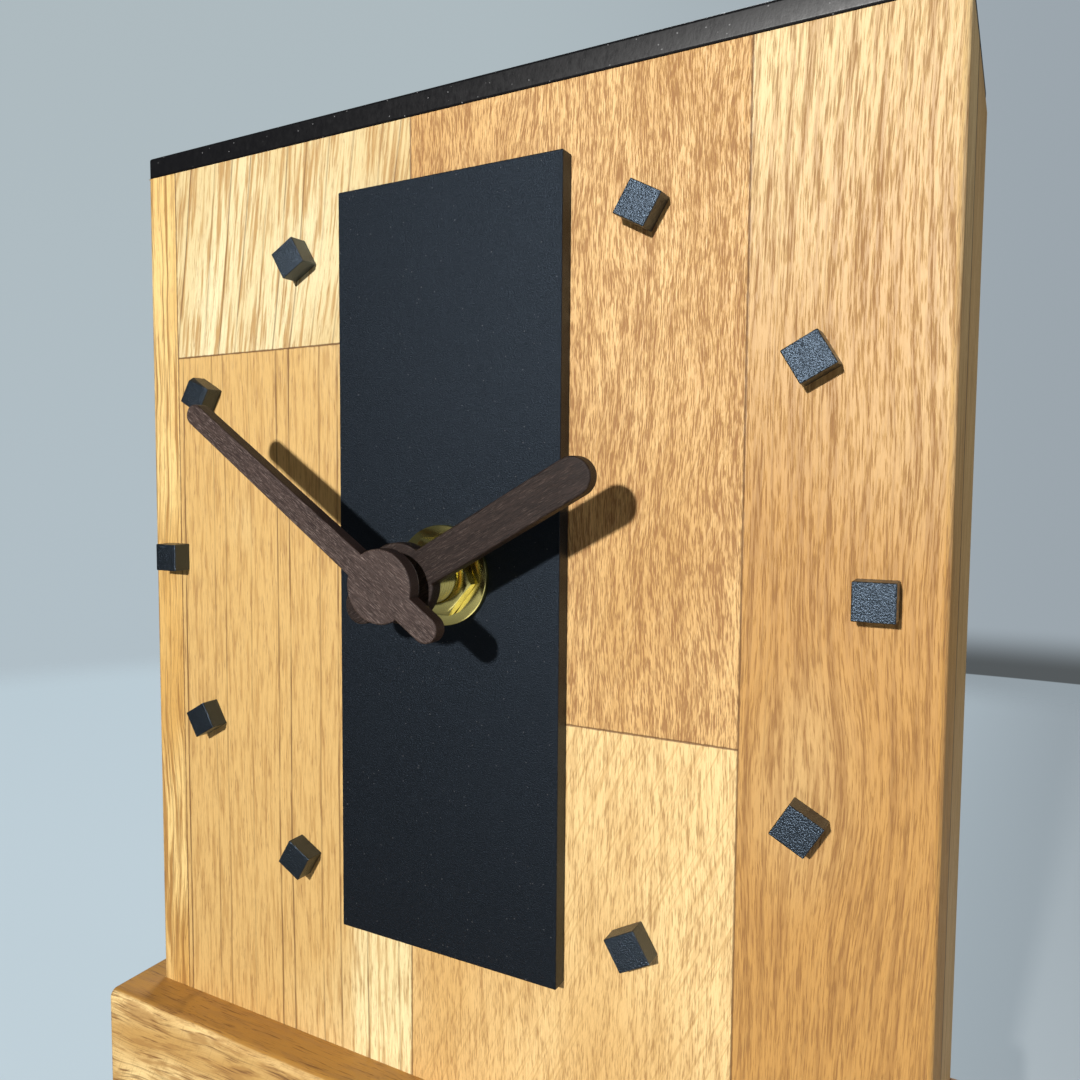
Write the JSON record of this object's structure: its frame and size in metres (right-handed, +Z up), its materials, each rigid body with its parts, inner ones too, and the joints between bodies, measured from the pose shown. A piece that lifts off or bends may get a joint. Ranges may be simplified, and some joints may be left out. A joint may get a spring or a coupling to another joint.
{
  "type": "mantel clock",
  "caption": "Upright laminated oak clock on an oak plinth, with a raised black face plate, black cube hour markers, wooden hands and a battery quartz movement let in from behind.",
  "frame": {"origin": "on the resting plane, under the middle of the overall width and depth", "axes": "+Z up, -Y the way the face looks, +X to the right of someone facing the clock"},
  "size_m": [0.1464, 0.0718, 0.1889],
  "materials": {
    "oak_base": "open-pored oak, oiled",
    "oak_stave_left": "open-pored oak, oiled",
    "oak_pale": "straight-grained pale oak, oiled",
    "oak_golden": "straight-grained golden oak, oiled",
    "oak_flecked": "brown oak with short dark pores, oiled",
    "oak_figured": "oak with slanting dark figure, oiled",
    "oak_swirled": "flat-sawn oak with swirling figure, oiled",
    "oak_rear": "open-pored oak, oiled",
    "black_lacquer": "black lacquer, semi-gloss",
    "black_grain": "black, fine powder grain",
    "black_cube": "black, satin",
    "wenge": "dark wenge, satin",
    "polished_brass": "polished",
    "bright_metal": "bright",
    "zinc_steel": "zinc plated",
    "rubber": "moulded",
    "felt": "pressed felt",
    "case_plastic": "moulded, matt",
    "gear_plastic": "moulded acetal",
    "bobbin_plastic": "moulded",
    "knob_plastic": "moulded",
    "cell_sleeve": "printed sleeve, plain",
    "spring_steel": "nickel plated",
    "spring_brass": "bright",
    "pipe_brass": "turned",
    "board_green": "solder mask",
    "chip_epoxy": "epoxy blob",
    "soft_iron": "rolled",
    "copper_wire": "enamelled copper"
  },
  "bodies": {
    "clock": {"base": "oak_base", "stave_left": "oak_stave_left", "stave_mid_left_upper": "oak_pale", "stave_mid_left_lower": "oak_golden", "stave_mid_right_upper": "oak_flecked", "stave_mid_right_lower": "oak_figured", "stave_right": "oak_swirled", "rear_stave_left": "oak_rear", "rear_stave_middle": "oak_rear", "rear_stave_right": "oak_rear", "top_strip": "black_lacquer", "base_screws": "zinc_steel", "face_plate": "black_grain", "dial_washer": "polished_brass", "hex_nut": "polished_brass", "threaded_stem": "polished_brass", "gasket": "rubber", "movement_case": "case_plastic", "movement_cover": "case_plastic", "gear_bridge": "gear_plastic", "positive_contact": "spring_steel", "negative_contact": "spring_steel", "circuit_board": "board_green", "quartz_crystal": "bright_metal", "timing_chip": "chip_epoxy", "coil_core": "soft_iron", "coil_bobbin": "bobbin_plastic", "coil_winding": "copper_wire", "stator_plate": "soft_iron", "foot_front_left": "felt", "foot_front_right": "felt", "foot_rear_left": "felt", "foot_rear_right": "felt", "hour_marker_1": "black_cube", "hour_marker_2": "black_cube", "hour_marker_3": "black_cube", "hour_marker_4": "black_cube", "hour_marker_5": "black_cube", "hour_marker_7": "black_cube", "hour_marker_8": "black_cube", "hour_marker_9": "black_cube", "hour_marker_10": "black_cube", "hour_marker_11": "black_cube"},
    "minute_set": {"minute_pipe": "pipe_brass", "clutch_spring": "spring_brass", "minute_hand_bush": "bright_metal", "minute_hand": "wenge"},
    "hour_set": {"hour_wheel": "gear_plastic", "hour_hand_bush": "bright_metal", "hour_hand": "wenge"},
    "motion_set": {"motion_wheel": "gear_plastic"},
    "knob_set": {"setting_knob": "knob_plastic"},
    "seconds_set": {"seconds_wheel": "gear_plastic"},
    "fifth_set": {"fifth_wheel": "gear_plastic"},
    "rotor_set": {"rotor": "gear_plastic"},
    "third_set": {"third_wheel": "gear_plastic"},
    "centre_set": {"centre_wheel": "gear_plastic"},
    "battery_set": {"battery_cell": "cell_sleeve"}
  },
  "joints": [
    {"name": "minute_turn", "type": "hinge", "parent": "clock", "child": "minute_set", "pos_m": [-0.0006, 0, 0.1132], "axis": [0, 1, 0], "continuous": true},
    {"name": "hour_turn", "type": "hinge", "parent": "clock", "child": "hour_set", "pos_m": [-0.0006, 0, 0.1132], "axis": [0, 1, 0], "continuous": true},
    {"name": "motion_turn", "type": "hinge", "parent": "clock", "child": "motion_set", "pos_m": [-0.00876, 0, 0.1132], "axis": [0, 1, 0], "continuous": true},
    {"name": "knob_turn", "type": "hinge", "parent": "clock", "child": "knob_set", "pos_m": [-0.01692, 0, 0.1132], "axis": [0, 1, 0], "continuous": true},
    {"name": "seconds_turn", "type": "hinge", "parent": "clock", "child": "seconds_set", "pos_m": [-0.0006, 0, 0.1132], "axis": [0, 1, 0], "continuous": true},
    {"name": "fifth_turn", "type": "hinge", "parent": "clock", "child": "fifth_set", "pos_m": [0.00315, 0, 0.1197], "axis": [0, 1, 0], "continuous": true},
    {"name": "rotor_turn", "type": "hinge", "parent": "clock", "child": "rotor_set", "pos_m": [0.00203, 0, 0.12603], "axis": [0, 1, 0], "continuous": true},
    {"name": "third_turn", "type": "hinge", "parent": "clock", "child": "third_set", "pos_m": [0.00696, 0, 0.1132], "axis": [0, 1, 0], "continuous": true},
    {"name": "centre_turn", "type": "hinge", "parent": "clock", "child": "centre_set", "pos_m": [-0.0006, 0, 0.1132], "axis": [0, 1, 0], "continuous": true},
    {"name": "battery_slide", "type": "slide", "parent": "clock", "child": "battery_set", "axis": [0, 1, 0], "range_m": [0, 0.035]}
  ],
  "couplings": [
    {"joint": "hour_turn", "follows": "minute_turn", "ratio": 0.083333},
    {"joint": "motion_turn", "follows": "minute_turn", "ratio": -0.33333},
    {"joint": "knob_turn", "follows": "minute_turn", "ratio": 1},
    {"joint": "fifth_turn", "follows": "seconds_turn", "ratio": -6},
    {"joint": "rotor_turn", "follows": "seconds_turn", "ratio": 30},
    {"joint": "third_turn", "follows": "seconds_turn", "ratio": -0.13333},
    {"joint": "centre_turn", "follows": "seconds_turn", "ratio": 0.016667}
  ]
}
